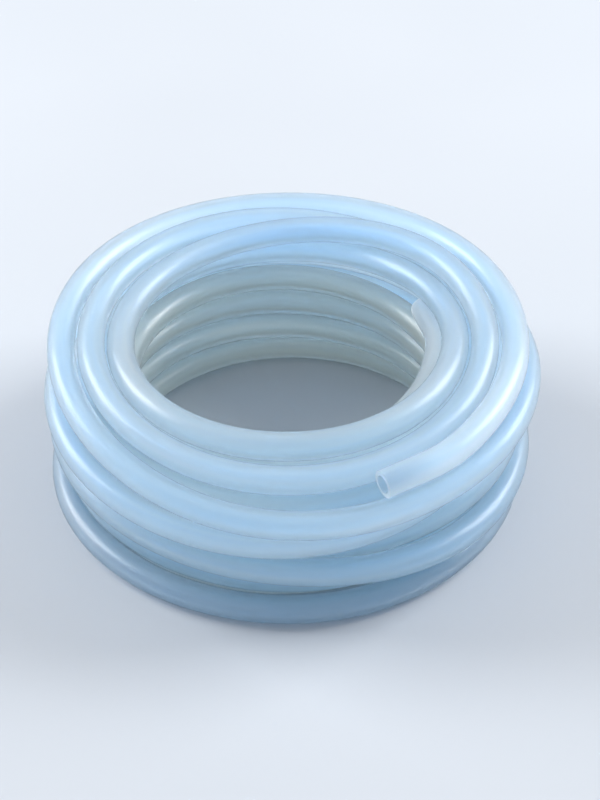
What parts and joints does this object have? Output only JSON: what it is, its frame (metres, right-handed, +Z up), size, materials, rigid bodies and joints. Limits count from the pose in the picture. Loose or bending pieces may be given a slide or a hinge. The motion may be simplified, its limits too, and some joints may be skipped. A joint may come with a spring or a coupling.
{
  "type": "silicone tubing coil",
  "caption": "Loose round coil of soft translucent silicone laboratory tubing, its turns nested around an open middle, with plain open ends.",
  "frame": {"origin": "middle of the coil's outline, on the surface it stands on", "axes": "+Z up along the coil's axis; the outer end of the tubing is at the front, -Y, and points to -X; the inner end is inside the coil at the right, +X"},
  "size_m": [0.182, 0.1832, 0.0731],
  "materials": {
    "silicone": "satin, milky translucent"
  },
  "bodies": {
    "root": {"tubing": "silicone"}
  },
  "joints": []
}
